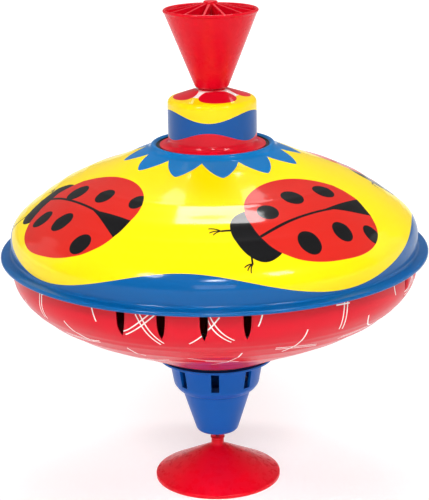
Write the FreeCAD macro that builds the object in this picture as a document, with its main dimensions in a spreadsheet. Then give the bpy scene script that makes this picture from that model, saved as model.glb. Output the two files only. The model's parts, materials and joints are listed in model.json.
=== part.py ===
"""A pump-handled humming spinning top of printed tin, 190 mm across the brim and 220 mm tall.

Millimetres, +Z up, origin at the centre of the foot's underside.
From the floor up: a plastic foot with a split ball stem, a bearing cup that the ball snaps into,
a plastic nose and air cup, a reed plate between cup and shells, two tin shells joined by a rolled
hem, and a tin collar. The collar holds a cone clutch, whose nut is turned by the twisted rod under
the handle.
"""

import FreeCAD, Part
import math
import os

import Sketcher

doc = FreeCAD.newDocument("SpinningTop")

# ------------------------------------------------------------------------------------------------
# Driving dimensions
# ------------------------------------------------------------------------------------------------

SIZES = [
    ("tin", 0.5, "sheet thickness of the printed tin"),
    ("rib", 1.0, "thickness of the handle's ribs"),
    ("running_gap", 0.1, "radial clearance of the ball in its cup"),
    ("foot_radius", 28.8, "foot rim"),
    ("foot_wall", 1.5, "foot wall, measured upright"),
    ("cone_height", 15.4, "top of the foot's cone"),
    ("stem_radius", 2.9, "foot stem"),
    ("waist_radius", 2.4, "stem just under the ball"),
    ("split_width", 1.8, "slot that lets the stem's halves spring"),
    ("split_height", 19.3, "bottom of that slot"),
    ("pivot_height", 31.0, "centre of the ball on the stem"),
    ("ball_radius", 3.9, "ball on the stem"),
    ("cup_bearing_radius", 7.0, "bearing cup, outside"),
    ("sleeve_radius", 7.05, "bore in the nose that the bearing cup turns in"),
    ("nose_base", 22.5, "underside of the nose"),
    ("nose_mouth", 4.1, "hole that the stem leans in"),
    ("nose_top_radius", 15.7, "nose where it meets the air cup"),
    ("nose_rim", 20.6, "height of that meeting line above the nose's underside"),
    ("spigot_radius", 14.2, "nose spigot inside the air cup"),
    ("air_cup_base", 43.1, "underside of the air cup"),
    ("air_cup_height", 16.5, "air cup, underside to flange face"),
    ("air_cup_flange", 26.4, "air cup flange radius"),
    ("window_width", 3.6, "air inlet window"),
    ("window_height", 9.2, "air inlet window"),
    ("window_count", 8, "air inlet windows, and reeds above them"),
    ("window_turn", -2.0, "angle of the first window from the front, degrees"),
    ("gasket_thickness", 0.5, "felt ring between air cup and shell"),
    ("boss_circle", 17.0, "radius of the circle of screw bosses"),
    ("boss_radius", 2.0, "screw boss"),
    ("shell_base", 60.1, "underside of the lower shell"),
    ("shell_radius", 90.0, "upright wall of the lower shell"),
    ("shell_rise", 49.6, "lower shell, underside to flange"),
    ("plate_radius", 22.0, "reed plate"),
    ("plate_thickness", 0.8, "reed plate"),
    ("brim_base", 109.2, "underside of the rolled brim"),
    ("brim_radius", 95.0, "outside of the rolled brim"),
    ("brim_thickness", 1.8, "rolled brim"),
    ("dome_radius", 90.3, "upright wall of the dome"),
    ("dome_rise", 47.8, "brim underside to the seat of the collar"),
    ("slot_width", 3.2, "sound slot at its open end"),
    ("slot_drop", 10.2, "sound slot, open end to point"),
    ("slot_pitch", 11.1, "angle between sound slots, degrees"),
    ("slot_per_group", 4, "sound slots in a group"),
    ("slot_groups", 4, "groups of sound slots"),
    ("slot_turn", -25.2, "angle of the first sound slot from the front, degrees"),
    ("collar_radius", 19.5, "collar wall"),
    ("collar_flange", 23.3, "collar flange"),
    ("collar_rise", 24.6, "collar, seat to top face"),
    ("tube_radius", 4.6, "guide tube, outside"),
    ("tube_bore", 4.1, "guide tube, inside"),
    ("knob_base", 182.4, "underside of the handle"),
    ("knob_rise", 34.2, "handle, underside to rim"),
    ("knob_radius", 20.6, "handle rim"),
    ("hub_radius", 4.3, "hub in the middle of the handle, at its foot"),
    ("hub_tip_radius", 3.1, "the same hub at its top"),
    ("hub_rise", 37.6, "handle, underside to the top of its hub"),
    ("rib_count", 12, "ribs in the handle"),
    ("rib_turn", 20.0, "angle of a rib from the front, degrees"),
    ("rod_base", 58.0, "lower end of the twisted rod with the handle down"),
    ("rod_width", 6.0, "twisted flat bar"),
    ("rod_thickness", 2.0, "twisted flat bar"),
    ("rod_lead", 45.0, "height of one whole turn of the twist"),
    ("rod_twisted", 116.0, "length of the twisted stretch"),
    ("rod_tip", 4.0, "length of the round tip that carries the stop"),
    ("shank_radius", 2.6, "round shank in the handle's hub"),
    ("shank_length", 26.0, "round shank"),
    ("slot_gap", 0.25, "clearance of the nut's slot round the bar, on each side"),
    ("nut_base", 160.0, "underside of the driver nut"),
    ("nut_height", 12.5, "driver nut"),
]


class Size:
    """A length that carries its number and the spreadsheet expression that gives it."""

    def __init__(self, value, text):
        self.value = value
        self.text = text

    def join(self, other, sign, value):
        return Size(value, "(%s %s %s)" % (self.text, sign, as_size(other).text))

    def __add__(self, other):
        return self.join(other, "+", self.value + as_size(other).value)

    def __sub__(self, other):
        return self.join(other, "-", self.value - as_size(other).value)

    def __mul__(self, other):
        return self.join(other, "*", self.value * as_size(other).value)

    def __truediv__(self, other):
        return self.join(other, "/", self.value / as_size(other).value)

    def __neg__(self):
        return self * -1


def as_size(x):
    return x if isinstance(x, Size) else Size(float(x), "%.6f" % x)


sheet = doc.addObject("Spreadsheet::Sheet", "Sizes")
S = {}
for row, (alias, number, meaning) in enumerate(SIZES, start=1):
    sheet.set("A%d" % row, alias)
    sheet.set("B%d" % row, str(number))
    sheet.set("C%d" % row, meaning)
    sheet.setAlias("B%d" % row, alias)
    S[alias] = Size(number, "Sizes." + alias)
doc.recompute()


# ------------------------------------------------------------------------------------------------
# Outlines: a list of (radius, height, turn) vertices
# ------------------------------------------------------------------------------------------------


def to(radius, height):
    """A straight line to this vertex."""
    return (as_size(radius), as_size(height), 0.0)


def arc(radius, height, turn):
    """An arc to this vertex that turns by so many degrees, positive to the left."""
    return (as_size(radius), as_size(height), float(turn))


def heading(start, end, at_end):
    """Direction of travel, in radians, where a stretch starts or ends."""
    chord = math.atan2(end[1].value - start[1].value, end[0].value - start[0].value)
    half = math.radians(end[2]) / 2
    return chord + half if at_end else chord - half


def flow(vertices, *points):
    """Goes on through the points in arcs, each leaving as the last stretch arrived."""
    for radius, height in points:
        arriving = heading(vertices[-2], vertices[-1], True)
        chord = heading(vertices[-1], to(radius, height), True)
        turn = math.degrees(2 * (chord - arriving))
        vertices.append(arc(radius, height, (turn + 180) % 360 - 180))
    return vertices


def sheet_metal(vertices, thickness):
    """Closes an open outline into a sheet whose other face lies to the left of travel."""
    inner = []
    for i, (radius, height, _) in enumerate(vertices):
        before = heading(vertices[i - 1], vertices[i], True) if i else None
        after = heading(vertices[i], vertices[i + 1], False) if i + 1 < len(vertices) else before
        before = after if before is None else before
        bend = (after - before + math.pi) % (2 * math.pi) - math.pi
        reach = thickness / math.cos(bend / 2)
        middle = before + bend / 2
        inner.append((radius - reach * math.sin(middle), height + reach * math.cos(middle)))
    turns = [0.0] + [-vertex[2] for vertex in reversed(vertices[1:])]
    back = [(radius, height, turn) for (radius, height), turn in zip(reversed(inner), turns)]
    return list(vertices) + back


# ------------------------------------------------------------------------------------------------
# Building blocks
# ------------------------------------------------------------------------------------------------

sub_parts = []


def label(part, name, height=None, turn=None):
    """Names a sub-part and lifts it to its own base, turned about the top's axis if asked."""
    part.Label = name
    part.Placement = FreeCAD.Placement()
    if height is not None:
        part.setExpression("Placement.Base.z", as_size(height).text)
    if turn is not None:
        part.setExpression("Placement.Rotation.Angle", as_size(turn).text)
    sub_parts.append(part)
    return part


def new_body(name, height=None, turn=None):
    body = doc.addObject("PartDesign::Body", "Body_" + name)
    body.AllowCompound = True
    return label(body, name, height, turn)


def new_sketch(body, name, role="XZ_Plane", lift=None):
    plane = next(f for f in body.Origin.OriginFeatures if f.Role == role)
    sketch = body.newObject("Sketcher::SketchObject", name)
    sketch.AttachmentSupport = [(plane, "")]
    sketch.MapMode = "FlatFace"
    if lift is not None:
        sketch.setExpression("AttachmentOffset.Base.z", as_size(lift).text)
    return sketch


def pin_point(sketch, element, end, x, y):
    """Fixes a point of the sketch at two sizes from its origin, bound to the sheet."""
    for kind, size in (("DistanceX", x), ("DistanceY", y)):
        if abs(size.value) < 1e-9:
            axis = -2 if kind == "DistanceX" else -1
            sketch.addConstraint(Sketcher.Constraint("PointOnObject", element, end, axis))
            continue
        number = sketch.addConstraint(Sketcher.Constraint(kind, -1, 1, element, end, size.value))
        if "Sizes" in size.text:
            sketch.setExpression("Constraints[%d]" % number, size.text)


def curve(start, end, turn):
    """The line or arc from one vertex to the next."""
    a = FreeCAD.Vector(start[0].value, start[1].value, 0)
    b = FreeCAD.Vector(end[0].value, end[1].value, 0)
    if turn == 0:
        return Part.LineSegment(a, b)
    first, last = (a, b) if turn > 0 else (b, a)
    chord = last - first
    half = math.radians(abs(turn)) / 2
    radius = chord.Length / (2 * math.sin(half))
    left = FreeCAD.Vector(-chord.y, chord.x, 0).normalize()
    centre = (first + last) / 2 + left * (radius * math.cos(half))
    low, high = (math.atan2(p.y - centre.y, p.x - centre.x) for p in (first, last))
    full = Part.Circle(centre, FreeCAD.Vector(0, 0, 1), radius)
    return Part.ArcOfCircle(full, low, high if high > low else high + 2 * math.pi)


def draw(sketch, vertices):
    """Draws a closed outline: every vertex is fixed, and every arc has its radius."""
    count = len(vertices)
    ends = []
    for i, vertex in enumerate(vertices):
        following = vertices[(i + 1) % count]
        sketch.addGeometry(curve(vertex, following, following[2]), False)
        ends.append((1, 2) if following[2] >= 0 else (2, 1))
    for i, vertex in enumerate(vertices):
        before = (i - 1) % count
        sketch.addConstraint(Sketcher.Constraint("Coincident", before, ends[before][1], i, ends[i][0]))
        pin_point(sketch, i, ends[i][0], vertex[0], vertex[1])
        if vertices[(i + 1) % count][2] != 0:
            sketch.addConstraint(Sketcher.Constraint("Radius", i, sketch.Geometry[i].Radius))
    return sketch


def revolve(body, name, vertices):
    """A solid of revolution about the top's axis."""
    sketch = draw(new_sketch(body, name + "Outline"), vertices)
    feature = body.newObject("PartDesign::Revolution", name)
    feature.Profile = sketch
    feature.ReferenceAxis = (sketch, ["V_Axis"])
    feature.Angle = 360.0
    doc.recompute()
    return feature


def rectangle(sketch, left, right, low, high):
    return draw(sketch, [to(left, low), to(right, low), to(right, high), to(left, high)])


def plain_circle(x, y, radius):
    return Part.Circle(FreeCAD.Vector(x, y, 0), FreeCAD.Vector(0, 0, 1), radius)


def circle(sketch, x, radius):
    """A circle centred on the sketch's X axis."""
    x, radius = as_size(x), as_size(radius)
    number = sketch.addGeometry(plain_circle(x.value, 0, radius.value))
    pin_point(sketch, number, 3, x, as_size(0))
    rule = sketch.addConstraint(Sketcher.Constraint("Radius", number, radius.value))
    if "Sizes" in radius.text:
        sketch.setExpression("Constraints[%d]" % rule, radius.text)
    return sketch


def pad(body, name, sketch, length, both_ways=False, backwards=False):
    feature = body.newObject("PartDesign::Pad", name)
    feature.Profile = sketch
    feature.setExpression("Length", as_size(length).text)
    feature.Midplane = both_ways
    feature.Reversed = backwards
    doc.recompute()
    return feature


def pocket(body, name, sketch, length, both_ways=False, backwards=False):
    """Cuts, and stops the build if the cut removes nothing."""
    before = body.Shape.Volume
    feature = body.newObject("PartDesign::Pocket", name)
    feature.Profile = sketch
    feature.setExpression("Length", as_size(length).text)
    feature.Midplane = both_ways
    feature.Reversed = backwards
    doc.recompute()
    if body.Shape.Volume > before - 1e-3:
        raise RuntimeError("%s of %s cuts nothing" % (name, body.Label))
    return feature


def ring_of(body, name, features, count, angle=360.0):
    """Repeats features about the top's axis."""
    pattern = body.newObject("PartDesign::PolarPattern", name)
    pattern.Originals = features
    pattern.Axis = (next(f for f in body.Origin.OriginFeatures if f.Role == "Z_Axis"), [""])
    pattern.setExpression("Occurrences", as_size(count).text)
    pattern.Angle = angle
    body.Tip = pattern
    doc.recompute()
    return pattern


def cylinder(name, radius, height, place=FreeCAD.Placement()):
    """A plain Part cylinder bound to the sheet."""
    solid = doc.addObject("Part::Cylinder", name)
    solid.setExpression("Radius", as_size(radius).text)
    solid.setExpression("Height", as_size(height).text)
    solid.Placement = place
    return solid


def tube(name, outside, inside, low, height):
    """A plain ring or tube standing at a height."""
    hollow = doc.addObject("Part::Cut", "Ring_" + name)
    hollow.Base = cylinder(name + "_outside", outside, height)
    hollow.Tool = cylinder(name + "_inside", inside, height)
    return label(hollow, name, low)


def cross_pin(name, radius, length, height):
    """A straight pin that lies along X through the top's axis."""
    pin = label(cylinder("Pin_" + name, radius, length), name)
    start = -(as_size(length) / 2)
    lying = FreeCAD.Rotation(FreeCAD.Vector(0, 1, 0), 90)
    pin.Placement = FreeCAD.Placement(FreeCAD.Vector(start.value, 0, height.value), lying)
    pin.setExpression("Placement.Base.x", start.text)
    pin.setExpression("Placement.Base.z", height.text)
    return pin


def side_hole(body, name, radius, height, length):
    """A hole along X through the top's axis."""
    sketch = new_sketch(body, name + "Circle", "YZ_Plane")
    number = sketch.addGeometry(plain_circle(0, height.value, radius))
    pin_point(sketch, number, 3, as_size(0), height)
    sketch.addConstraint(Sketcher.Constraint("Radius", number, radius))
    return pocket(body, name, sketch, length, both_ways=True)


# ------------------------------------------------------------------------------------------------
# Foot and its pivot
# ------------------------------------------------------------------------------------------------


def make_foot():
    """A hollow cone with a split stem, whose ball end carries the whole top."""
    body = new_body("foot", 0)
    rim, lip_height = S["foot_radius"], 1.6
    stem, waist, ball = S["stem_radius"], S["waist_radius"], S["ball_radius"]
    bead = stem + 0.4
    inside = rim - S["foot_wall"]
    neck = math.sqrt(ball.value**2 - waist.value**2)
    crown = math.degrees(math.pi - math.asin(waist.value / ball.value))
    revolve(
        body,
        "Cone",
        [
            to(inside, 0),
            to(rim, 0),
            to(rim, lip_height - 0.5),
            arc(rim - 0.6, lip_height + 0.12, 63),
            to(stem + 0.9, S["cone_height"] - 0.9),
            arc(stem, S["cone_height"] + 0.4, -55),
            to(stem, 17.9),
            to(bead, 18.2),
            to(bead, 18.7),
            to(stem, 19.0),
            to(stem, 24.0),
            to(waist, 24.6),
            to(waist, S["pivot_height"] - neck),
            arc(0, S["pivot_height"] + ball, crown),
            to(0, S["cone_height"] - S["foot_wall"]),
            to(stem, S["cone_height"] - S["foot_wall"]),
            to(inside, lip_height - 0.9),
        ],
    )
    half = S["split_width"] / 2
    slot = rectangle(new_sketch(body, "SplitOutline"), -half, half, S["split_height"], 36.0)
    pocket(body, "Split", slot, 12.0, both_ways=True)


def make_bearing_cup():
    """The ball snaps into this cup; the cup turns freely in the nose."""
    low, mouth = 3.5, 2.5
    cavity = S["ball_radius"] + S["running_gap"]
    opening = math.sqrt(cavity.value**2 - mouth**2)
    wrap = 180 - math.degrees(math.asin(opening / cavity.value))
    outside = S["cup_bearing_radius"]
    body = new_body("bearing_cup", S["pivot_height"] - low)
    revolve(
        body,
        "Cup",
        [
            to(4.2, 0),
            to(outside - 0.4, 0),
            to(outside, 0.4),
            to(outside, 8.9),
            to(outside - 0.4, 9.3),
            to(0, 9.3),
            to(0, cavity + low),
            arc(opening, low - mouth, -wrap),
        ],
    )


def make_thrust_parts():
    """A washer and a cap close the sleeve over the bearing cup."""
    tube("thrust_washer", S["cup_bearing_radius"] - 0.1, 1.0, S["pivot_height"] + 5.95, 0.8)
    plug, cap_edge = S["sleeve_radius"], 8.4
    body = new_body("bearing_cap", S["pivot_height"] + 6.75)
    outline = [to(0, 0), to(plug, 0), to(plug, 0.75)]
    outline += [to(cap_edge, 0.75), to(cap_edge, 1.75), to(0, 1.75)]
    revolve(body, "Cap", outline)


# ------------------------------------------------------------------------------------------------
# Nose and air cup
# ------------------------------------------------------------------------------------------------

NOSE_SCREW_CIRCLE = 12.5
NOSE_SCREW_COUNT = 3
CUP_FLOOR_LOW = 1.6
CUP_FLOOR_TOP = 3.1
BOSS_COUNT = 4
BOSS_TURN = 22.5


def hole_ring(body, name, plane_height, depth, circle_radius, hole_radius, count, turn=0.0):
    """Holes on a circle, each a pocket going down from a height of the body's own."""
    sketch = new_sketch(body, name + "Circle", "XY_Plane", plane_height)
    sketch.AttachmentOffset = FreeCAD.Placement(
        FreeCAD.Vector(0, 0, as_size(plane_height).value), FreeCAD.Rotation(FreeCAD.Vector(0, 0, 1), turn)
    )
    sketch.setExpression("AttachmentOffset.Base.z", as_size(plane_height).text)
    circle(sketch, circle_radius, hole_radius)
    cut = pocket(body, name, sketch, depth)
    return ring_of(body, name + "Ring", [cut], count)


def make_nose():
    """The blue cone under the air cup, with the sleeve that the bearing cup turns in."""
    body = new_body("nose_cone", S["nose_base"])
    top, spigot, rim = S["nose_top_radius"], S["spigot_radius"], S["nose_rim"]
    sleeve, mouth = S["sleeve_radius"], S["nose_mouth"]
    revolve(
        body,
        "Cone",
        [
            to(mouth + 0.4, 0),
            to(7.7, 0),
            arc(9.78, 1.45, 69.9),
            to(top, rim - 0.4),
            to(top - 0.4, rim),
            to(spigot, rim),
            to(spigot, rim + CUP_FLOOR_LOW),
            to(10.8, rim + CUP_FLOOR_LOW),
            to(10.8, 11.0),
            to(8.4, 8.5),
            to(8.4, 16.0),
            to(sleeve, 16.0),
            to(sleeve, 4.8),
            to(mouth, 4.8),
            to(mouth, 0.4),
        ],
    )
    hole_ring(body, "ScrewHoles", rim + CUP_FLOOR_LOW, 5.5, NOSE_SCREW_CIRCLE, 1.0, NOSE_SCREW_COUNT)


def make_air_cup():
    """The slotted cup: air is drawn in through its windows and up through the reeds."""
    body = new_body("air_cup", S["air_cup_base"], S["window_turn"])
    tall, flange, spigot = S["air_cup_height"], S["air_cup_flange"], S["spigot_radius"]
    revolve(
        body,
        "Cup",
        [
            to(spigot, 0),
            to(16.3, 0),
            arc(18.6, 1.9, 45),
            arc(19.6, 3.8, 32),
            to(21.5, tall - 1.9),
            arc(22.3, tall - 1.2, -60),
            to(flange - 0.3, tall - 1.1),
            to(flange, tall - 0.8),
            to(flange, tall),
            to(20.3, tall),
            to(20.2, tall - 1.6),
            to(18.3, 4.2),
            arc(17.2, CUP_FLOOR_TOP, -80),
            to(10.5, CUP_FLOOR_TOP),
            to(10.5, CUP_FLOOR_LOW),
            to(spigot, CUP_FLOOR_LOW),
        ],
    )
    boss = new_sketch(body, "BossCircle", "XY_Plane")
    boss.AttachmentOffset = FreeCAD.Placement(
        FreeCAD.Vector(0, 0, 3.0), FreeCAD.Rotation(FreeCAD.Vector(0, 0, 1), BOSS_TURN)
    )
    circle(boss, S["boss_circle"], S["boss_radius"])
    boss_top = tall + S["gasket_thickness"] + S["tin"]
    post = pad(body, "Boss", boss, boss_top - 3.0)
    ring_of(body, "Bosses", [post], BOSS_COUNT)
    hole_ring(body, "BossHoles", boss_top, 8.0, S["boss_circle"], 0.9, BOSS_COUNT, BOSS_TURN)
    hole_ring(body, "ScrewHoles", CUP_FLOOR_TOP, 3.0, NOSE_SCREW_CIRCLE, 1.0, NOSE_SCREW_COUNT, 2.0)
    half = S["window_width"] / 2
    low = as_size(4.6)
    window = rectangle(new_sketch(body, "WindowOutline"), -half, half, low, low + S["window_height"])
    opening = pocket(body, "Window", window, 26.0, backwards=True)
    ring_of(body, "Windows", [opening], S["window_count"])


def make_screws(name, top, turn, circle_radius, count, head, shank, length):
    """Pan-head screws on a circle, all heads resting at the same height."""
    body = new_body(name, top, turn)
    head_circle = circle(new_sketch(body, "HeadCircle", "XY_Plane"), circle_radius, head)
    shank_circle = circle(new_sketch(body, "ShankCircle", "XY_Plane"), circle_radius, shank)
    heads = pad(body, "Head", head_circle, 1.3)
    shanks = pad(body, "Shank", shank_circle, length, backwards=True)
    slot = new_sketch(body, "DriveOutline", "XY_Plane", 1.3)
    rectangle(slot, as_size(circle_radius) - head, as_size(circle_radius) + head, -0.3, 0.3)
    drive = pocket(body, "Drive", slot, 0.6)
    ring_of(body, "Screws", [heads, shanks, drive], count)


# ------------------------------------------------------------------------------------------------
# Reed plate
# ------------------------------------------------------------------------------------------------

RIVET_CIRCLE = 17.3


def plate_height():
    return S["shell_base"] + S["tin"]


def make_reed_plate():
    """The plate that closes the shells over the air cup, with a slot under each reed."""
    body = new_body("reed_plate", plate_height(), S["window_turn"])
    disc = new_sketch(body, "DiscCircles", "XY_Plane")
    circle(disc, 0, S["plate_radius"])
    circle(disc, 0, S["tube_radius"])
    pad(body, "Disc", disc, S["plate_thickness"])
    top = S["plate_thickness"]
    hole_ring(body, "ScrewHoles", top, 1.0, S["boss_circle"], 0.9, BOSS_COUNT, BOSS_TURN)
    hole_ring(body, "RivetHoles", top, 1.0, RIVET_CIRCLE, 0.75, S["window_count"])
    slot = rectangle(new_sketch(body, "SlotOutline", "XY_Plane", top), 7.6, 15.8, -1.3, 1.3)
    opening = pocket(body, "Slot", slot, 1.0)
    ring_of(body, "Slots", [opening], S["window_count"])


def make_reeds():
    """Brass tongues, each riveted at its wide end and free over its slot."""
    body = new_body("reeds", plate_height() + S["plate_thickness"], S["window_turn"])
    half, root = 1.1, 1.7
    outline = [to(7.8, -half), to(15.6, -half), to(15.6, -root), to(18.9, -root)]
    outline += [to(18.9, root), to(15.6, root), to(15.6, half), to(7.8, half)]
    tongue = draw(new_sketch(body, "TongueOutline", "XY_Plane"), outline)
    leaf = pad(body, "Tongue", tongue, 0.3)
    rivet = circle(new_sketch(body, "RivetCircle", "XY_Plane"), RIVET_CIRCLE, 0.75)
    hole = pocket(body, "RivetHole", rivet, 1.0, backwards=True)
    ring_of(body, "Tongues", [leaf, hole], S["window_count"])


def make_rivets():
    """Rivets through each reed and the plate, with a head at both ends."""
    body = new_body("reed_rivets", plate_height() + S["plate_thickness"] + 0.3, S["window_turn"])
    grip = S["plate_thickness"] + 0.3
    shank_circle = circle(new_sketch(body, "ShankCircle", "XY_Plane"), RIVET_CIRCLE, 0.75)
    head_circle = circle(new_sketch(body, "HeadCircle", "XY_Plane"), RIVET_CIRCLE, 1.2)
    tail_circle = circle(new_sketch(body, "TailCircle", "XY_Plane", -grip), RIVET_CIRCLE, 1.2)
    shank = pad(body, "Shank", shank_circle, grip, backwards=True)
    head = pad(body, "Head", head_circle, 0.6)
    tail = pad(body, "Tail", tail_circle, 0.45, backwards=True)
    ring_of(body, "Rivets", [shank, head, tail], S["window_count"])


# ------------------------------------------------------------------------------------------------
# Tin shells
# ------------------------------------------------------------------------------------------------


def make_lower_shell():
    """The red shell: flat floor, S-shaped flare, slotted upright wall and the flange in the hem."""
    body = new_body("lower_shell", S["shell_base"], S["slot_turn"])
    wall, rise = S["shell_radius"], S["shell_rise"]
    outside = flow(
        [to(19.9, 0), to(23.5, 0), arc(33.2, 3.9, 10.2)],
        (57.0, 14.9),
        (wall - 12.0, rise - 23.4),
        (wall - 2.8, rise - 14.7),
        (wall, rise - 6.85),
    )
    outside += [to(wall, rise), to(S["brim_radius"] - 1.0, rise)]
    revolve(body, "Shell", sheet_metal(outside, S["tin"]))
    top = rise - 1.2
    half = S["slot_width"] / 2
    point = top - S["slot_drop"]
    outline = draw(new_sketch(body, "SlotOutline"), [to(-half, top), to(0, point), to(half, top)])
    cut = pocket(body, "Slot", outline, wall + 2.0, backwards=True)
    group = body.newObject("PartDesign::MultiTransform", "Slots")
    group.Originals = [cut]
    steps = []
    for name, count, angle in (("Group", "slot_per_group", None), ("Round", "slot_groups", 360.0)):
        pattern = body.newObject("PartDesign::PolarPattern", name)
        pattern.Axis = (next(f for f in body.Origin.OriginFeatures if f.Role == "Z_Axis"), [""])
        pattern.setExpression("Occurrences", S[count].text)
        if angle is None:
            pattern.setExpression("Angle", (S["slot_pitch"] * (S["slot_per_group"] - 1)).text)
        else:
            pattern.Angle = angle
        steps.append(pattern)
    group.Transformations = steps
    body.Tip = group
    doc.recompute()


def make_upper_shell():
    """The printed dome, from the rolled hem of the brim to the seat of the collar."""
    body = new_body("upper_shell", S["brim_base"])
    brim, wall, rise = S["brim_radius"], S["dome_radius"], S["dome_rise"]
    nose = S["brim_thickness"] / 2
    brim_top = nose * 2
    outside = [to(brim - 3.4, 0), to(brim - nose, 0)]
    outside += [arc(brim, nose, 90), arc(brim - nose, brim_top, 90)]
    outside += [to(wall + 1.3, brim_top + 0.3), arc(wall, brim_top + 1.7, -83), to(wall, 7.8)]
    flow(outside, (wall - 4.1, 16.8), (70.0, 28.7), (53.0, 36.7), (36.0, 43.75))
    outside += [to(28.6, rise - 1.0), arc(27.2, rise + 0.6, -25), arc(25.2, rise + 0.75, 110)]
    outside += [to(24.4, rise), to(19.1, rise)]
    revolve(body, "Shell", sheet_metal(outside, S["tin"]))


# ------------------------------------------------------------------------------------------------
# Collar, clutch and guide tube
# ------------------------------------------------------------------------------------------------


def collar_base():
    return S["brim_base"] + S["dome_rise"]


def make_collar():
    """The printed tin collar on top of the dome."""
    body = new_body("neck_collar", collar_base())
    wall, flange, rise, tin = S["collar_radius"], S["collar_flange"], S["collar_rise"], S["tin"]
    outside = [
        to(flange, tin),
        to(wall + 3.0, tin),
        arc(wall, tin + 3.0, -90),
        to(wall, rise - 5.7),
        arc(wall - 1.7, rise - 3.35, 71),
        to(8.0, rise),
        to(4.3, rise),
    ]
    revolve(body, "Collar", sheet_metal(outside, tin))


def make_collar_inside():
    """What the collar hides: lock ring, clutch seat, the cover over the nut and the rod's bush."""
    wall, tin = S["collar_radius"], S["tin"]
    inner = wall - tin
    held = inner - 0.6
    lock = new_body("lock_ring", collar_base() - tin * 2)
    outline = [to(held, 0), to(23.0, 0), to(23.0, tin), to(inner, tin), to(inner, 10.5), to(held, 10.5)]
    revolve(lock, "Ring", outline)
    seat = new_body("clutch_seat", S["nut_base"] - 6.0)
    sleeve = S["tube_radius"]
    revolve(
        seat,
        "Seat",
        [
            to(sleeve, 0),
            to(sleeve + 1.2, 0),
            to(sleeve + 1.2, 4.2),
            to(13.3, 11.7),
            to(held, 11.7),
            to(held, 12.7),
            to(12.6, 12.7),
            to(5.0, 5.1),
            to(sleeve, 4.3),
        ],
    )
    cover = new_body("clutch_cover", S["nut_base"] + 6.7)
    outline = [to(held - 1.0, 0), to(held, 0), to(held, 8.0)]
    outline += [to(7.0, 8.0), to(7.0, 7.2), to(held - 1.0, 7.2)]
    revolve(cover, "Cover", outline)
    bush = new_body("collar_bush", collar_base() + S["collar_rise"] - 3.6)
    outline = [to(3.35, 0), to(4.3, 0), to(4.3, 3.6), to(6.0, 3.6), to(6.0, 4.1), to(3.35, 4.1)]
    revolve(bush, "Bush", outline)


def make_guide_tube():
    """The tube from clutch seat to reed plate that guides the rod's stop, with its nut and washer."""
    low = S["rod_base"] - 4.5
    tube("guide_tube", S["tube_radius"], S["tube_bore"], low, S["nut_base"] - 1.7 - low)
    hexagon = doc.addObject("Part::Prism", "NutHexagon")
    hexagon.Polygon = 6
    hexagon.Circumradius = 6.9
    hexagon.Height = 3.2
    nut = doc.addObject("Part::Cut", "Nut_tube_nut")
    nut.Base = hexagon
    nut.Tool = cylinder("tube_nut_inside", S["tube_radius"], 3.2)
    label(nut, "tube_nut", plate_height() - 3.2)
    tube("tube_washer", 6.8, S["tube_radius"], plate_height() + S["plate_thickness"], 0.7)


# ------------------------------------------------------------------------------------------------
# Drive: twisted rod, nut and handle
# ------------------------------------------------------------------------------------------------


def twist_guide(name, height):
    """A right-handed helix that steers the twist of a straight bar."""
    helix = doc.addObject("Part::Helix", name)
    helix.setExpression("Pitch", S["rod_lead"].text)
    helix.setExpression("Height", height.text)
    helix.Radius = 4.0
    return helix


def twist(body, kind, name, half_width, half_thickness, height, low, guide):
    """Sweeps a rectangle straight up while it turns with the guide helix."""
    section = new_sketch(body, name + "Section", "XY_Plane", low)
    rectangle(section, -half_width, half_width, -half_thickness, half_thickness)
    path = new_sketch(body, name + "Path", "XZ_Plane")
    low = as_size(low)
    low_point = FreeCAD.Vector(0, low.value, 0)
    high_point = FreeCAD.Vector(0, (low + height).value, 0)
    path.addGeometry(Part.LineSegment(low_point, high_point), False)
    pin_point(path, 0, 1, as_size(0), low)
    pin_point(path, 0, 2, as_size(0), low + height)
    doc.recompute()
    feature = body.newObject(kind, name)
    feature.Profile = section
    feature.Spine = (path, ["Edge1"])
    feature.Mode = "Auxiliary"
    feature.AuxiliarySpine = (guide, ["Edge1"])
    feature.AuxiliaryCurvilinear = True
    doc.recompute()
    return feature


def make_rod():
    """A flat steel bar twisted into a screw, with a round tip below and a round shank above."""
    body = new_body("spiral_rod", S["rod_base"])
    tip, twisted = S["rod_tip"], S["rod_twisted"]
    guide = twist_guide("RodHelix", twisted)
    guide.setExpression("Placement.Base.z", tip.text)
    twist(
        body,
        "PartDesign::AdditivePipe",
        "Twist",
        S["rod_width"] / 2,
        S["rod_thickness"] / 2,
        twisted,
        tip,
        guide,
    )
    pad(body, "Tip", circle(new_sketch(body, "TipCircle", "XY_Plane"), 0, 1.6), tip)
    shank = circle(new_sketch(body, "ShankCircle", "XY_Plane", tip + twisted), 0, S["shank_radius"])
    pad(body, "Shank", shank, S["shank_length"])
    side_hole(body, "PinHole", 1.0, knob_pin_height() - S["rod_base"], 8.0)
    side_hole(body, "StopPinHole", 0.6, tip / 2, 8.0)


def knob_pin_height():
    return S["knob_base"] + 14.0


def make_rod_stop():
    """The stop on the rod's tip that ends the handle's travel, and its pin."""
    body = new_body("rod_stop", S["rod_base"])
    outside = S["tube_bore"] - 0.4
    revolve(body, "Stop", [to(1.6, 0), to(outside, 0), to(outside, S["rod_tip"]), to(1.6, S["rod_tip"])])
    side_hole(body, "PinHole", 0.6, S["rod_tip"] / 2, 9.0)
    cross_pin("stop_pin", 0.6, outside * 2, S["rod_base"] + S["rod_tip"] / 2)


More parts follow.
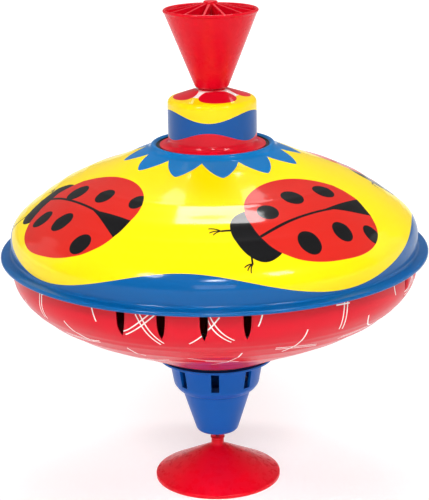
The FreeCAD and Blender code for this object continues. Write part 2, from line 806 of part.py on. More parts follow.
def make_driver_nut():
    """The nut on the twisted rod, with the clutch cone round it."""
    body = new_body("driver_nut", S["nut_base"])
    tall = S["nut_height"]
    revolve(
        body,
        "Nut",
        [to(0, 0), to(5.5, 0), to(12.1, 6.6), to(12.1, 9.5), to(6.5, 9.5), to(6.5, tall), to(0, tall)],
    )
    before = body.Shape.Volume
    start = S["nut_base"] - S["rod_base"] - S["rod_tip"]
    guide = twist_guide("NutHelix", tall)
    turned = start / S["rod_lead"] * 360
    guide.setExpression("Placement.Rotation.Angle", turned.text)
    half_width = S["rod_width"] / 2 + S["slot_gap"]
    half_thickness = S["rod_thickness"] / 2 + S["slot_gap"]
    slot = twist(body, "PartDesign::SubtractivePipe", "Slot", half_width, half_thickness, tall, 0, guide)
    slot.Profile[0].setExpression("AttachmentOffset.Rotation.Angle", turned.text)
    doc.recompute()
    if body.Shape.Volume > before - 1.0:
        raise RuntimeError("the nut's slot cuts nothing")


def make_knob():
    """The funnel handle: a thin cone with a hub and ribs."""
    body = new_body("knob", S["knob_base"])
    rim, rise = S["knob_radius"], S["knob_rise"]
    hub, tip, hub_top = S["hub_radius"], S["hub_tip_radius"], S["hub_rise"]
    bore = S["shank_radius"] + 0.05
    revolve(
        body,
        "Funnel",
        [
            to(bore, 0),
            to(5.8, 0),
            arc(7.6, 1.22, 68),
            to(rim - 0.5, rise - 1.6),
            to(rim - 0.15, rise - 1.25),
            arc(rim - 0.6, rise, 137),
            arc(rim - 1.2, rise - 0.5, 60),
            to(9.1, 8.0),
            to(hub, 8.0),
            to(tip, hub_top - 0.7),
            arc(tip - 0.7, hub_top, 88),
            to(0, hub_top),
            to(0, 22.0),
            to(bore, 22.0),
        ],
    )
    side_hole(body, "PinHole", 1.0, as_size(14.0), hub * 2 + 2.0)
    rib = new_sketch(body, "RibOutline")
    upright = FreeCAD.Vector(0, 1, 0)
    turned = FreeCAD.Rotation(upright, S["rib_turn"].value)
    rib.AttachmentOffset = FreeCAD.Placement(FreeCAD.Vector(), turned)
    rib.setExpression("AttachmentOffset.Rotation.Angle", S["rib_turn"].text)
    outline = [to(hub - 0.6, 17.0), to(13.3, 17.0)]
    outline += [to(rim - 1.3, rise - 1.0), to(tip - 0.3, hub_top - 0.9)]
    draw(rib, outline)
    blade = pad(body, "Rib", rib, S["rib"], both_ways=True)
    ring_of(body, "Ribs", [blade], S["rib_count"])
    cross_pin("knob_pin", 1.0, hub * 2 - 0.8, knob_pin_height())


# ------------------------------------------------------------------------------------------------
# Assembly
# ------------------------------------------------------------------------------------------------

make_foot()
make_bearing_cup()
make_thrust_parts()
make_nose()
make_air_cup()
make_screws(
    "nose_screws",
    S["air_cup_base"] + CUP_FLOOR_TOP,
    0,
    NOSE_SCREW_CIRCLE,
    NOSE_SCREW_COUNT,
    1.9,
    1.0,
    7.0,
)
tube("housing_gasket", 23.4, 20.3, S["air_cup_base"] + S["air_cup_height"], S["gasket_thickness"])
make_reed_plate()
make_reeds()
make_rivets()
make_screws(
    "housing_screws",
    plate_height() + S["plate_thickness"],
    S["window_turn"] + BOSS_TURN,
    S["boss_circle"],
    BOSS_COUNT,
    1.7,
    0.9,
    8.0,
)
make_lower_shell()
make_upper_shell()
make_collar()
make_collar_inside()
make_guide_tube()
make_rod()
make_rod_stop()
make_driver_nut()
make_knob()

doc.recompute()
for item in doc.Objects:
    if "Invalid" in item.State or "Error" in item.State:
        raise RuntimeError("%s failed: %s" % (item.Label, item.State))
for part in sub_parts:
    if part.Shape.isNull() or not part.Shape.isValid():
        raise RuntimeError("%s has no valid shape" % part.Label)

os.makedirs("parts", exist_ok=True)
for part in sub_parts:
    part.Shape.exportStep("parts/%s.step" % part.Label)
    print("%-16s %2d solid(s) %9.1f mm3" % (part.Label, len(part.Shape.Solids), part.Shape.Volume))
print(len(sub_parts), "sub-parts")
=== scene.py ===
import json
import math

import bmesh
import bpy
from mathutils import Matrix, Vector


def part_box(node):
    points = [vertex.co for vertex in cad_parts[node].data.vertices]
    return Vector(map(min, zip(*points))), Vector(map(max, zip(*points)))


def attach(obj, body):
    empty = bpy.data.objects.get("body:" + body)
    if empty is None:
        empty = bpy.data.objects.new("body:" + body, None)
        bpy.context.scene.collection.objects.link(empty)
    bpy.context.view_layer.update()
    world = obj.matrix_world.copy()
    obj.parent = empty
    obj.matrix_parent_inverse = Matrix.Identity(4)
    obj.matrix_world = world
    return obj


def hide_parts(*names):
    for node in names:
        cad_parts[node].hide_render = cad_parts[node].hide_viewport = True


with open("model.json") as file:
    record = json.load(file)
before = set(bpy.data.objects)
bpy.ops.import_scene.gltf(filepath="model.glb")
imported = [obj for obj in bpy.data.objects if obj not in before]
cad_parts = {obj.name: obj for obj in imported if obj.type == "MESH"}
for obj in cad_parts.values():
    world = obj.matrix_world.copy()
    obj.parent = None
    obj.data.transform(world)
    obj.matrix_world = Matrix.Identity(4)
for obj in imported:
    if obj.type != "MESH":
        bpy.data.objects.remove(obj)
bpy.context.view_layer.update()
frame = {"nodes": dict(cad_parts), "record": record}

# Looks of a pump-handled humming top. Metres, +Z up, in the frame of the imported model.
# Outlines and printed artwork are written in millimetres; MM turns them into metres.

MM = 0.001
CREASE = 40  # degrees between two faces above which the edge between them is shaded sharp
ARC_STEP = math.radians(8)  # most that a traced arc turns from one point to the next


# ------------------------------------------------------------------------------------------------
# Outlines: lists of (radius, height, turn) vertices in millimetres, above a node's own base
# ------------------------------------------------------------------------------------------------


def line(radius, height):
    """A straight line to this vertex."""
    return (radius, height, 0.0)


def arc(radius, height, turn):
    """An arc to this vertex that turns by so many degrees, positive to the left."""
    return (radius, height, turn)


def heading(start, end, at_end):
    """Direction of travel, in radians, where a stretch starts or ends."""
    chord = math.atan2(end[1] - start[1], end[0] - start[0])
    half = math.radians(end[2]) / 2
    return chord + half if at_end else chord - half


def flow(vertices, *points):
    """Goes on through the points in arcs, each leaving as the last stretch arrived."""
    for radius, height in points:
        arriving = heading(vertices[-2], vertices[-1], True)
        chord = heading(vertices[-1], line(radius, height), True)
        turn = math.degrees(2 * (chord - arriving))
        vertices.append(arc(radius, height, (turn + 180) % 360 - 180))
    return vertices


def trace(vertices, step):
    """Dense (radius, height) points along an outline, about one step apart on long stretches."""
    points = [vertices[0][:2]]
    for start, end in zip(vertices, vertices[1:]):
        chord = Vector((end[0] - start[0], end[1] - start[1]))
        turn = math.radians(end[2])
        parts = max(1, math.ceil(chord.length / step), math.ceil(abs(turn) / ARC_STEP))
        for i in range(1, parts + 1):
            share = i / parts
            if turn == 0:
                along, off = share, 0.0
            else:
                swept = turn * share
                reach = math.sin(swept / 2) / math.sin(turn / 2)
                along = reach * math.cos((turn - swept) / 2)
                off = -reach * math.sin((turn - swept) / 2)
            radius = start[0] + chord.x * along - chord.y * off
            height = start[1] + chord.y * along + chord.x * off
            points.append((radius, height))
    return points


def sheet(points, thickness):
    """Closes an open line of points into a sheet, with its other face to the left of travel."""
    inner = []
    for i, point in enumerate(points):
        before = Vector(points[max(i - 1, 0)])
        after = Vector(points[min(i + 1, len(points) - 1)])
        here = Vector(point)
        first = (here - before).normalized() if i else (after - here).normalized()
        second = (after - here).normalized() if i + 1 < len(points) else first
        middle = (first + second).normalized()
        reach = thickness / max(middle.dot(first), 0.5)
        inner.append((here.x - middle.y * reach, here.y + middle.x * reach))
    return list(points) + inner[::-1]


# ------------------------------------------------------------------------------------------------
# Mesh building
# ------------------------------------------------------------------------------------------------


def to_object(mesh, name):
    """A smooth-shaded object that is sharp at its creases."""
    data = bpy.data.meshes.new(name)
    mesh.normal_update()
    mesh.to_mesh(data)
    mesh.free()
    data.shade_smooth()
    data.set_sharp_from_angle(angle=math.radians(CREASE))
    piece = bpy.data.objects.new(name, data)
    bpy.context.scene.collection.objects.link(piece)
    return piece


def lathe(outline, base, angles):
    """A closed outline turned about the Z axis, with points at each angle from the front."""
    mesh = bmesh.new()
    rings = []
    for angle in angles:
        x, y = math.sin(math.radians(angle)), -math.cos(math.radians(angle))
        rings.append([mesh.verts.new((r * x * MM, r * y * MM, z * MM + base)) for r, z in outline])
    count = len(outline)
    for i, ring in enumerate(rings):
        following = rings[(i + 1) % len(rings)]
        for j in range(count):
            k = (j + 1) % count
            mesh.faces.new((ring[j], following[j], following[k], ring[k]))
    bmesh.ops.recalc_face_normals(mesh, faces=mesh.faces)
    return mesh


def even_angles(count):
    """So many angles in degrees, evenly round a turn."""
    return [360.0 * i / count for i in range(count)]


# ------------------------------------------------------------------------------------------------
# Materials: numbers that vary over a surface, with their sums written out
# ------------------------------------------------------------------------------------------------


def linear(value):
    """Linear light of one ordinary 0 to 255 colour value, by the sRGB curve."""
    value /= 255
    return value / 12.92 if value <= 0.04045 else ((value + 0.055) / 1.055) ** 2.4


def paint(red, green, blue):
    """A linear colour given as ordinary 0 to 255 values."""
    return (linear(red), linear(green), linear(blue), 1.0)


class Field:
    """A number over the surface: one output socket of a material's nodes."""

    def __init__(self, tree, socket):
        self.tree = tree
        self.socket = socket

    def math(self, operation, *others, clamp=False):
        """This number put through a Math node, with numbers or other fields."""
        node = self.tree.nodes.new("ShaderNodeMath")
        node.operation = operation
        node.use_clamp = clamp
        for place, value in enumerate((self,) + others):
            if isinstance(value, Field):
                self.tree.links.new(value.socket, node.inputs[place])
            else:
                node.inputs[place].default_value = value
        return Field(self.tree, node.outputs[0])

    def __add__(self, other):
        return self.math("ADD", other)

    def __sub__(self, other):
        return self.math("SUBTRACT", other)

    def __mul__(self, other):
        return self.math("MULTIPLY", other)

    def __truediv__(self, other):
        return self.math("DIVIDE", other)

    def __abs__(self):
        return self.math("ABSOLUTE")

    def __neg__(self):
        return self * -1.0

    def power(self, exponent):
        return self.math("POWER", exponent)

    def least(self, other):
        return self.math("MINIMUM", other)

    def most(self, other):
        return self.math("MAXIMUM", other)

    def cosine(self):
        return self.math("COSINE")

    def sine(self):
        return self.math("SINE")


EVEN = (1.0, 1.0, 1.0)  # a pattern that isn't stretched along any axis
GRIME = (0.25, 0.22, 0.2, 1.0)  # what shading tends to


class Surface:
    """A material being made, painted from the ground ink upwards."""

    def __init__(self, name):
        self.material = bpy.data.materials.new(name)
        self.material.use_nodes = True
        self.tree = self.material.node_tree
        self.shader = self.tree.nodes["Principled BSDF"]
        self.place = self.tree.nodes.new("ShaderNodeTexCoord").outputs["Object"]
        self.colour = None  # the output socket of the ink on top, once there is a ground

    def axes(self):
        """x, y and z in millimetres."""
        node = self.tree.nodes.new("ShaderNodeSeparateXYZ")
        self.tree.links.new(self.place, node.inputs[0])
        return [Field(self.tree, socket) * 1000.0 for socket in node.outputs]

    def round_axes(self):
        """Angle from the front in degrees, radius and height in millimetres."""
        x, y, z = self.axes()
        angle = x.math("ARCTAN2", -y) * (180 / math.pi)
        radius = (x * x + y * y).math("SQRT")
        return angle, radius, z

    def set(self, **values):
        """Sets the shader's own sockets, with _ for each space in a socket's name."""
        for name, value in values.items():
            self.shader.inputs[name.replace("_", " ")].default_value = value

    def ground(self, colour):
        """The ink under all the others."""
        node = self.tree.nodes.new("ShaderNodeMix")
        node.data_type = "RGBA"
        node.inputs["Factor"].default_value = 0.0
        node.inputs["A"].default_value = colour
        node.inputs["B"].default_value = colour
        self.colour = node.outputs["Result"]

    def print_over(self, colour, cover):
        """Prints an ink where cover is 1."""
        node = self.tree.nodes.new("ShaderNodeMix")
        node.data_type = "RGBA"
        self.tree.links.new(cover.socket, node.inputs["Factor"])
        self.tree.links.new(self.colour, node.inputs["A"])
        node.inputs["B"].default_value = colour
        self.colour = node.outputs["Result"]

    def noise(self, scale, detail=3.0, stretch=EVEN):
        """Noise between 0 and 1, scale being the number of patches in a metre."""
        mapping = self.tree.nodes.new("ShaderNodeMapping")
        mapping.inputs["Scale"].default_value = stretch
        self.tree.links.new(self.place, mapping.inputs["Vector"])
        node = self.tree.nodes.new("ShaderNodeTexNoise")
        node.inputs["Scale"].default_value = scale
        node.inputs["Detail"].default_value = detail
        self.tree.links.new(mapping.outputs[0], node.inputs["Vector"])
        return Field(self.tree, node.outputs["Fac"])

    def shade(self, amount, pattern):
        """Darkens the colour by up to amount where the pattern is high."""
        node = self.tree.nodes.new("ShaderNodeMix")
        node.data_type = "RGBA"
        node.blend_type = "MULTIPLY"
        self.tree.links.new((pattern * amount).socket, node.inputs["Factor"])
        self.tree.links.new(self.colour, node.inputs["A"])
        node.inputs["B"].default_value = GRIME
        self.colour = node.outputs["Result"]

    def rough(self, low, high, pattern):
        """Roughness from low to high with the pattern."""
        self.tree.links.new((pattern * (high - low) + low).socket, self.shader.inputs["Roughness"])

    def bump(self, pattern, depth, strength=1.0):
        """Raises the surface by up to depth in metres with the pattern; gives its normal back."""
        node = self.tree.nodes.new("ShaderNodeBump")
        node.inputs["Strength"].default_value = strength
        node.inputs["Distance"].default_value = depth
        self.tree.links.new(pattern.socket, node.inputs["Height"])
        self.tree.links.new(node.outputs[0], self.shader.inputs["Normal"])
        return node.outputs[0]

    def done(self):
        """The finished material."""
        self.tree.links.new(self.colour, self.shader.inputs["Base Color"])
        return self.material


INK_EDGE = 0.12  # width in millimetres over which one ink gives way to another


def cover(distance):
    """1 where a distance in millimetres is inside its shape, that is above 0."""
    return (distance / INK_EDGE).math("ADD", 0.5, clamp=True)


TO_RADIANS = math.pi / 180  # for angles that are fields


def fold(angle, centre, pitch):
    """An angle measured from the nearest of the centres that repeat at a pitch."""
    shifted = (angle - centre) / pitch + 0.5
    return (shifted - shifted.math("FLOOR") - 0.5) * pitch


def oval(x, y, centre, half_width, half_height, tilt=0.0, fullness=2.0):
    """Distance into an oval; fullness above 2 squares it off."""
    dx, dy = x - centre[0], y - centre[1]
    c, s = math.cos(math.radians(tilt)), math.sin(math.radians(tilt))
    along = abs(dx * c + dy * s) / half_width
    across = abs(dy * c - dx * s) / half_height
    reach = (along.power(fullness) + across.power(fullness)).power(1 / fullness)
    return (-reach + 1.0) * min(half_width, half_height)


def stroke(x, y, start, end, width, bow=0.0, gap=0.0):
    """Distance into a pen stroke that bows to the left of travel, or a pair with a gap."""
    dx, dy = end[0] - start[0], end[1] - start[1]
    length = math.hypot(dx, dy)
    c, s = dx / length, dy / length
    from_x, from_y = x - (start[0] + end[0]) / 2, y - (start[1] + end[1]) / 2
    along = from_x * c + from_y * s
    across = from_y * c - from_x * s
    if bow:
        across = across + along * along * (4 * bow / length**2) - bow
    beside = abs(abs(across) - gap / 2) if gap else abs(across)
    return (-beside + width / 2).least(-abs(along) + length / 2)


# Printed inks
YELLOW = paint(252, 220, 0)
BAND_BLUE = paint(0, 88, 152)
NECK_BLUE = paint(0, 112, 180)
COLLAR_BLUE = paint(0, 80, 156)
BEETLE_RED = paint(204, 36, 26)
SHELL_RED = paint(214, 8, 34)
BEETLE_BLACK = paint(14, 14, 16)
WHITE_INK = paint(250, 244, 240)


def varnished(surface):
    """Lithographed tin: smooth ink under clear varnish, with the faint waviness of rolled sheet."""
    surface.set(Specular_IOR_Level=0.05, Coat_Weight=0.4, Coat_Roughness=0.08, Coat_IOR=1.5)
    surface.rough(0.3, 0.42, surface.noise(420.0, 4.0))
    wave = surface.noise(38.0, 2.0, (1.0, 1.0, 2.6)) * 0.8 + surface.noise(900.0, 2.0) * 0.05
    normal = surface.bump(wave, 0.0006, 0.35)
    surface.tree.links.new(normal, surface.shader.inputs["Coat Normal"])
    surface.shade(0.12, surface.noise(25.0, 2.0).math("SUBTRACT", 0.4, clamp=True))
    return surface.done()


BEETLE_ANGLE = 38.0  # degrees from the front to the first beetle's middle
BEETLE_MIDDLE = 66.6  # millimetres from the axis to the line where the wings meet
MIRRORED_TURN = 2.2  # degrees by which a mirrored beetle sits to the left of an even spacing


def beetle(surface, angle, radius):
    """One beetle per quarter turn, its head to the left; every other one is a mirror image."""
    mirrored = ((angle - BEETLE_ANGLE) * (2 * TO_RADIANS)).cosine().math("SIGN") * -0.5 + 0.5
    facing = mirrored * -2.0 + 1.0
    turned = (fold(angle, BEETLE_ANGLE, 90.0) + mirrored * MIRRORED_TURN) * TO_RADIANS
    x = radius * turned.sine()
    y = (radius * turned.cosine() - BEETLE_MIDDLE) * facing + BEETLE_MIDDLE
    legs = (
        ((-34.0, 63.0), (-41.4, 57.6), ((-44.8, 53.6), (-45.6, 55.2), (-45.0, 56.9))),
        ((-36.0, 70.4), (-39.5, 75.0), ((-43.1, 74.2), (-42.7, 75.7), (-41.9, 77.0))),
    )
    for hip, wrist, tips in legs:
        surface.print_over(BEETLE_BLACK, cover(stroke(x, y, hip, wrist, 0.8, 0.3)))
        for tip in tips:
            surface.print_over(BEETLE_BLACK, cover(stroke(x, y, wrist, tip, 0.5, 0.35)))
    surface.print_over(BEETLE_BLACK, cover(oval(x, y, (-30.0, 66.4), 9.6, 11.6, 0.0, 2.3)))
    body = oval(x, y, (-0.6, 66.0), 29.2, 21.6, 3.0, 2.3)
    surface.print_over(BEETLE_RED, cover(body))
    seam = -abs(y - 67.2 + x * 0.03) + 0.55
    wedge = -abs(y - BEETLE_MIDDLE) + (x - 6.0) * 0.2
    inside = body.least(seam.most(wedge.least(x - 6.0)))
    surface.print_over(BEETLE_BLACK, cover(inside))
    spots = (  # centre, how far off it is on a mirrored beetle, half sizes and tilt
        ((-19.0, 60.0), (-0.2, -3.0), 4.6, 4.0, 20), ((-3.0, 56.6), (-0.9, 1.0), 4.9, 4.3, 30),
        ((14.6, 56.2), (2.2, -2.6), 4.8, 4.1, 20), ((-12.4, 78.2), (-2.9, -5.6), 4.9, 4.9, 30),
        ((6.0, 77.6), (-3.2, -2.7), 4.3, 4.5, 40), ((20.4, 79.8), (0.4, -0.4), 3.6, 4.2, 30),
    )
    for centre, (off_x, off_y), half_width, half_height, tilt in spots:
        here_x, here_y = x - mirrored * off_x, y - mirrored * off_y
        spot = oval(here_x, here_y, centre, half_width, half_height, tilt).least(body)
        surface.print_over(BEETLE_BLACK, cover(spot))


def dome_print():
    """Yellow ground, four beetles, a waved blue border below and a scalloped one at the neck."""
    surface = Surface("printed_tin_dome")
    angle, radius, height = surface.round_axes()
    surface.ground(YELLOW)
    beetle(surface, angle, radius)
    crest = ((angle + 8.0) * (4 * TO_RADIANS)).cosine()
    border = crest * 5.9 + 118.9 - height
    surface.print_over(BAND_BLUE, cover(border))
    lobe = fold(angle, 6.0, 30.0) / 15.0
    scallop = (-abs(lobe).power(1.35) + 1.0) * 9.4 + 29.9
    surface.print_over(NECK_BLUE, cover(scallop - radius))
    # Painted shade: a black ring inside the neck stands in for the dark gap under the collar's
    # flange
    surface.print_over(BEETLE_BLACK, cover(-radius + 24.9))
    return varnished(surface)


def shell_print():
    """Red ground with fine white strokes, singly and in crossing pairs, on an unrolled quarter."""
    surface = Surface("printed_tin_red")
    angle, radius, height = surface.round_axes()
    surface.ground(SHELL_RED)
    x = fold(angle, -7.0, 90.0) * radius * TO_RADIANS
    y = height + (radius - 90.0) * 0.45
    pairs = (
        ((-27.0, 98.0), (-13.5, 109.0), -0.3), ((-21.0, 108.0), (-11.0, 93.5), -0.7),
        ((7.5, 108.5), (17.5, 96.0), -1.1), ((-62.0, 84.5), (-40.5, 87.5), -0.8),
        ((-26.0, 65.5), (-10.5, 73.0), 0.5), ((4.5, 75.0), (17.5, 71.5), 0.3),
        ((34.5, 87.0), (53.0, 83.0), 0.4), ((67.6, 108.0), (65.0, 94.0), 0.6),
    )
    singles = (
        ((12.5, 107.5), (0.0, 94.5), 0.5), ((-42.0, 107.5), (-40.0, 101.8), -0.2),
        ((29.7, 108.0), (28.0, 103.0), 0.2), ((-58.5, 97.5), (-43.5, 86.5), -2.0),
        ((-27.5, 86.0), (-20.5, 77.5), -0.7), ((20.5, 85.5), (5.5, 65.0), 1.8),
        ((-2.5, 79.5), (5.0, 75.5), -0.4), ((49.0, 98.5), (37.0, 82.5), 2.0),
        ((62.5, 107.0), (69.5, 106.6), 0.0),
    )
    for start, end, bow in pairs:
        surface.print_over(WHITE_INK, cover(stroke(x, y, start, end, 0.5, bow, 1.7)))
    for start, end, bow in singles:
        surface.print_over(WHITE_INK, cover(stroke(x, y, start, end, 0.55, bow)))
    return varnished(surface)


COLLAR_TOP = 177.4  # height in millimetres above which the collar turns inwards


def collar_print():
    """Yellow, blue and red bands round the collar, and four red petals on its top."""
    surface = Surface("printed_tin_collar")
    angle, radius, height = surface.round_axes()
    surface.ground(YELLOW)
    turned = fold(angle, 12.0, 90.0) * TO_RADIANS
    petal = oval(radius * turned.sine(), radius * turned.cosine(), (0.0, 11.6), 8.3, 5.5)
    on_top = height - COLLAR_TOP
    surface.print_over(WHITE_INK, cover((-radius + 13.0).least(on_top)))
    surface.print_over(SHELL_RED, cover(petal.least(on_top)))
    swell = ((angle + 5.0) * (3 * TO_RADIANS)).cosine()
    surface.print_over(COLLAR_BLUE, cover(swell * -1.9 + 172.2 - height))
    surface.print_over(SHELL_RED, cover(swell * 2.3 + 163.6 - height))
    return varnished(surface)


def moulded_plastic(name, colour, roughness=0.22):
    """Injection-moulded plastic: glossy, with faint flow marks and a little depth."""
    surface = Surface(name)
    surface.ground(colour)
    flow_marks = surface.noise(40.0, 2.0, (1.0, 1.0, 0.35))
    surface.shade(0.25, flow_marks.math("SUBTRACT", 0.4, clamp=True))
    surface.rough(roughness, roughness + 0.12, surface.noise(300.0, 4.0))
    surface.bump(surface.noise(60.0, 2.0), 0.0003, 0.1)
    surface.set(Subsurface_Weight=0.04, Subsurface_Scale=0.001)
    surface.set(Specular_IOR_Level=0.14, Coat_Weight=0.08, Coat_Roughness=0.1)
    return surface.done()


def bare_metal(name, colour, roughness, grain):
    """Plated or rolled metal with a fine grain."""
    surface = Surface(name)
    surface.ground(colour)
    surface.shade(0.35, surface.noise(220.0, 5.0).math("SUBTRACT", 0.5, clamp=True))
    surface.rough(roughness, roughness + 0.2, surface.noise(700.0, 4.0, grain))
    surface.bump(surface.noise(1500.0, 3.0, grain), 0.0001, 0.3)
    surface.set(Metallic=1.0)
    return surface.done()


def felt():
    """Pressed grey felt."""
    surface = Surface("felt")
    surface.ground(paint(120, 120, 124))
    fibres = surface.noise(2600.0, 8.0)
    surface.shade(0.6, fibres)
    surface.bump(fibres, 0.0003, 0.8)
    surface.set(Roughness=0.95, Sheen_Weight=0.4)
    return surface.done()


# ------------------------------------------------------------------------------------------------
# Tin shells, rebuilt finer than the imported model
# ------------------------------------------------------------------------------------------------

TIN = 0.5  # thickness of the sheet in millimetres
# Rings as radius, width and rise in millimetres
DOME_RINGS = ((57.5, 1.0, 0.13), (68.6, 2.4, 0.26), (76.0, 1.0, 0.15), (82.8, 1.3, 0.15))
FLARE_RINGS = (
    (44.0, 1.5, 0.2), (70.0, 1.2, 0.22), (78.0, 1.2, 0.3), (83.6, 0.9, 0.22), (86.2, 0.8, 0.25),
)
# Sound slots: angles in degrees, sizes in millimetres
SLOT_FIRST, SLOT_PITCH, SLOTS_IN_GROUP, SLOT_GROUPS = -25.2, 11.1, 4, 4
SLOT_WIDTH, SLOT_DROP = 3.4, 11.4
SLOT_START = 1.7  # from the shell's upper face down to the slots
FLANGE = 4.0  # width of the flat flange that the dome's hem closes on


def spun_ridge(radius, rings):
    """The slight rings that spinning leaves in a shell, in millimetres of height."""
    return sum(rise * math.exp(-(((radius - at) / width) ** 2)) for at, width, rise in rings)


def make_dome():
    """The printed dome with its rolled hem."""
    low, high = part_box("upper_shell")
    brim, rise = high.x / MM, (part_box("neck_collar")[0].z - low.z) / MM
    wall, nose = brim - 4.7, 0.9
    outline = [line(brim - 3.4, 0), line(brim - nose, 0)]
    outline += [arc(brim, nose, 90), arc(brim - nose, nose * 2, 90)]
    outline += [line(wall + 1.3, nose * 2 + 0.3), arc(wall, nose * 2 + 1.7, -83), line(wall, 7.8)]
    flow(outline, (wall - 4.1, 16.8), (70.0, 28.7), (53.0, 36.7), (36.0, 43.75))
    outline += [line(28.6, rise - 1.0), arc(27.2, rise + 0.6, -25), arc(25.2, rise + 0.75, 110)]
    outline += [line(24.4, rise), line(19.1, rise)]
    hem_top = 10  # no rings below this
    points = [
        (r, z + spun_ridge(r, DOME_RINGS) if z > hem_top else z) for r, z in trace(outline, 0.9)
    ]
    piece = to_object(lathe(sheet(points, TIN), low.z, even_angles(300)), "printed_dome")
    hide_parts("upper_shell")
    return piece


def add_cutter(mesh, low_z, high_z, radius, angle):
    """Adds a solid with a point below that cuts one sound slot through the wall."""
    half, drop = SLOT_WIDTH / 2 * MM, high_z - low_z
    shares = (0, 0.25, 0.45, 0.6, 0.72, 0.82, 0.9, 0.96)  # of the way down to the point
    sides = [(half * (1 - share**3.4), high_z - share * drop) for share in shares]
    outline = sides + [(0.0, low_z)] + [(-x, z) for x, z in reversed(sides)]
    turn = Matrix.Rotation(math.radians(angle), 3, "Z")
    near = [mesh.verts.new(turn @ Vector((x, -radius * 0.94, z))) for x, z in outline]
    far = [mesh.verts.new(turn @ Vector((x, -radius * 1.05, z))) for x, z in outline]
    mesh.faces.new(near)
    mesh.faces.new(far[::-1])
    for i in range(len(near)):
        k = (i + 1) % len(near)
        mesh.faces.new((near[i], far[i], far[k], near[k]))


def slot_angles():
    """The angle of every sound slot from the front, in degrees."""
    return [
        SLOT_FIRST + SLOT_PITCH * i + 360.0 / SLOT_GROUPS * group
        for group in range(SLOT_GROUPS)
        for i in range(SLOTS_IN_GROUP)
    ]


def make_flare():
    """The red lower shell: S-shaped flare, slotted wall and the flange in the hem."""
    low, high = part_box("lower_shell")
    flange, rise = high.x / MM, (high.z - low.z) / MM - TIN
    wall = flange - FLANGE
    outline = flow(
        [line(19.9, 0), line(23.5, 0), arc(33.2, 3.9, 10.2)],
        (57.0, 14.9), (wall - 12.0, rise - 23.4), (wall - 2.8, rise - 14.7), (wall, rise - 6.85),
    )
    outline += [line(wall, rise), line(flange, rise)]
    # Points close together round each slot, for its edges to be cut and bent cleanly
    near_slots = [slot + 0.22 * k for slot in slot_angles() for k in range(-9, 14)]
    angles = sorted({round(a % 360, 3) for a in even_angles(240) + near_slots})
    points = [
        (r, z - spun_ridge(r, FLARE_RINGS) if r < wall - 1 else z) for r, z in trace(outline, 0.7)
    ]
    piece = to_object(lathe(sheet(points, TIN), low.z, angles), "printed_flare")
    top = high.z - SLOT_START * MM
    cut_slots(piece, top, wall)
    press_in(piece, top, wall)
    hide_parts("lower_shell")
    return piece


def cut_slots(piece, top, wall):
    """Cuts every sound slot out of the shell's wall."""
    mesh = bmesh.new()
    for slot in slot_angles():
        add_cutter(mesh, top - SLOT_DROP * MM, top, wall * MM, slot)
    bmesh.ops.recalc_face_normals(mesh, faces=mesh.faces)
    data = bpy.data.meshes.new("cutters")
    mesh.to_mesh(data)
    mesh.free()
    tool = bpy.data.objects.new("cutters", data)
    bpy.context.scene.collection.objects.link(tool)
    cut = piece.modifiers.new("slots", "BOOLEAN")
    cut.operation = "DIFFERENCE"
    cut.solver = "EXACT"
    cut.object = tool
    depsgraph = bpy.context.evaluated_depsgraph_get()
    piece.data = bpy.data.meshes.new_from_object(piece.evaluated_get(depsgraph))
    piece.modifiers.clear()
    bpy.data.objects.remove(tool)
    bpy.data.meshes.remove(data)


def press_in(piece, top, wall):
    """Bends the right-hand edge of every slot inwards, as the punch that made it did."""
    depth, fading = 1.3 * MM, 1.2 * MM
    drop, highest = (SLOT_DROP + 1.2) * MM, top + 0.3 * MM
    innermost = (wall - 4) * MM
    for vertex in piece.data.vertices:
        x, y, z = vertex.co
        radius = math.hypot(x, y)
        if z < top - drop or z > highest or radius < innermost:
            continue
        angle = math.degrees(math.atan2(x, -y))
        nearest = min(((angle - slot + 180) % 360 - 180 for slot in slot_angles()), key=abs)
        beside = math.radians(nearest) * wall
        if not 0.0 < beside < SLOT_WIDTH:
            continue
        share = math.cos(beside / SLOT_WIDTH * math.pi / 2) ** 2
        tall = math.sin(min(1.0, (z - top + drop) / drop * 1.2) * math.pi / 2)
        fade = min(1.0, (highest - z) / fading)
        shrink = 1 - depth * share * tall * fade / radius
        vertex.co.x *= shrink
        vertex.co.y *= shrink
    piece.data.update()
    piece.data.set_sharp_from_angle(angle=math.radians(CREASE))


# ------------------------------------------------------------------------------------------------
# The whole top
# ------------------------------------------------------------------------------------------------

SLOT_OF_NODE = {row["node"]: row["material_slot"] for row in frame["record"]["subparts"]}


def make_materials():
    """A material for every material slot of the record."""
    return {
        "red_plastic": moulded_plastic("red_plastic", paint(222, 4, 32)),
        "blue_plastic": moulded_plastic("blue_plastic", paint(0, 94, 186), 0.3),
        "white_plastic": moulded_plastic("white_plastic", paint(236, 232, 222), 0.35),
        "printed_tin_dome": dome_print(),
        "printed_tin_red": shell_print(),
        "printed_tin_collar": collar_print(),
        "bare_tin": bare_metal("bare_tin", paint(206, 208, 210), 0.28, (1.0, 1.0, 6.0)),
        "steel": bare_metal("steel", paint(186, 188, 192), 0.25, (1.0, 1.0, 3.0)),
        "brass": bare_metal("brass", paint(214, 178, 96), 0.3, (6.0, 1.0, 1.0)),
        "felt": felt(),
    }


def give_material(piece, material):
    """Puts a material on the whole of a piece."""
    piece.data.materials.clear()
    piece.data.materials.append(material)


FLOOR_SIZE = 8.0
FLOOR_GLOW, FAR_GLOW = 0.52, 0.4  # light given off near the top, and how much more further out
GLOW_START, GLOW_REACH = 250.0, 900.0  # millimetres from the axis over which the glow rises


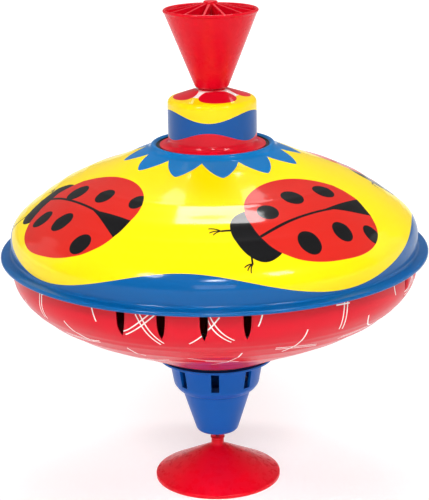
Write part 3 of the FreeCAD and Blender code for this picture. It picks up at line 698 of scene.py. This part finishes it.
def make_stage():
    """A plain pale floor that glows a little, like the floor of a light tent."""
    bpy.ops.mesh.primitive_plane_add(size=FLOOR_SIZE)
    floor = bpy.context.object
    floor.name = "floor"
    surface = Surface("floor_paper")
    surface.rough(0.7, 0.8, surface.noise(30.0))
    surface.bump(surface.noise(800.0), 0.0001, 0.1)
    surface.set(Base_Color=paint(194, 194, 194), Specular_IOR_Level=0.1)
    surface.set(Emission_Color=(1.0, 1.0, 1.0, 1.0))
    radius = surface.round_axes()[1]
    further = ((radius - GLOW_START) / GLOW_REACH).math("ADD", 0.0, clamp=True)
    glow = further * FAR_GLOW + FLOOR_GLOW
    surface.tree.links.new(glow.socket, surface.shader.inputs["Emission Strength"])
    give_material(floor, surface.material)


MIDDLE = 0.11  # height in metres that most of the lights face
WIDE = 180  # spread in degrees of a soft box without a grid
# Angles are in degrees, with the azimuth from the front, and lengths in metres
SOFT_BOXES = (
    # name, azimuth, elevation, distance, width, height, watts, height it faces, spread
    ("left_box", -41, 44, 1.1, 0.2, 0.26, 4.0, MIDDLE, WIDE),
    ("right_box", 41, 44, 1.1, 0.2, 0.26, 4.0, MIDDLE, WIDE),
    ("top_box", 176, 68, 1.3, 0.5, 0.16, 5.6, MIDDLE, WIDE),
    ("front_fill", 0, 12, 1.3, 0.5, 0.3, 1.6, MIDDLE, WIDE),
    ("foot_fill", 0, 38, 1.2, 0.3, 0.2, 0.06, 0.0, 14),
    ("left_flank", -112, 14, 1.2, 0.7, 0.9, 1.4, MIDDLE, WIDE),
    ("right_flank", 112, 14, 1.2, 0.7, 0.9, 1.4, MIDDLE, WIDE),
    ("rear_box", 180, 50, 1.3, 0.5, 0.3, 2.6, MIDDLE, WIDE),
)


def soft_light(name, azimuth, elevation, distance, width, height, power, aim_height, spread):
    """A rectangular soft box that faces a point on the top's axis."""
    aim = Vector((0, 0, aim_height))
    a, e = math.radians(azimuth), math.radians(elevation)
    away = Vector((math.sin(a) * math.cos(e), -math.cos(a) * math.cos(e), math.sin(e)))
    data = bpy.data.lights.new(name, "AREA")
    data.shape = "RECTANGLE"
    data.size, data.size_y, data.energy = width, height, power
    data.spread = math.radians(spread)
    light = bpy.data.objects.new(name, data)
    light.location = aim + away * distance
    light.rotation_mode = "QUATERNION"
    light.rotation_quaternion = (-away).to_track_quat("-Z", "Y")
    bpy.context.scene.collection.objects.link(light)


ROOM_LIGHT, ROOM_SEEN = 0.3, 1.0  # how bright the room shines, and looks to the camera


def make_lights():
    """A pale room with soft boxes round the top and a narrow light on its foot."""
    world = bpy.data.worlds.new("room")
    world.use_nodes = True
    nodes, links = world.node_tree.nodes, world.node_tree.links
    seen = nodes.new("ShaderNodeLightPath").outputs["Is Camera Ray"]
    strength = nodes.new("ShaderNodeMapRange")
    strength.inputs["To Min"].default_value = ROOM_LIGHT
    strength.inputs["To Max"].default_value = ROOM_SEEN
    links.new(seen, strength.inputs["Value"])
    links.new(strength.outputs["Result"], nodes["Background"].inputs["Strength"])
    nodes["Background"].inputs["Color"].default_value = (1.0, 1.0, 1.0, 1.0)
    bpy.context.scene.world = world
    for box in SOFT_BOXES:
        soft_light(*box)


def make_camera():
    """Looks down a little at the middle of the top, from about 0.7 m."""
    distance, elevation, roll = 0.7174, math.radians(16.61), math.radians(-0.95)
    lens, sensor = 115.3, 36.0
    aim = Vector((0, 0, 0.1085))
    away = Vector((0, -math.cos(elevation), math.sin(elevation)))
    data = bpy.data.cameras.new("camera")
    data.lens, data.sensor_width = lens, sensor
    camera = bpy.data.objects.new("camera", data)
    camera.location = aim + away * distance
    camera.rotation_mode = "QUATERNION"
    level = (-away).to_track_quat("-Z", "Y").to_matrix()
    camera.rotation_quaternion = (level @ Matrix.Rotation(roll, 3, "Z")).to_quaternion()
    bpy.context.scene.collection.objects.link(camera)
    bpy.context.scene.camera = camera


materials = make_materials()
for name, node in frame["nodes"].items():
    give_material(node, materials[SLOT_OF_NODE[name]])
for piece, slot in ((make_dome(), "printed_tin_dome"), (make_flare(), "printed_tin_red")):
    give_material(piece, materials[slot])
    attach(piece, "top")

make_stage()
make_lights()
make_camera()
bpy.context.scene.view_settings.view_transform = "Standard"
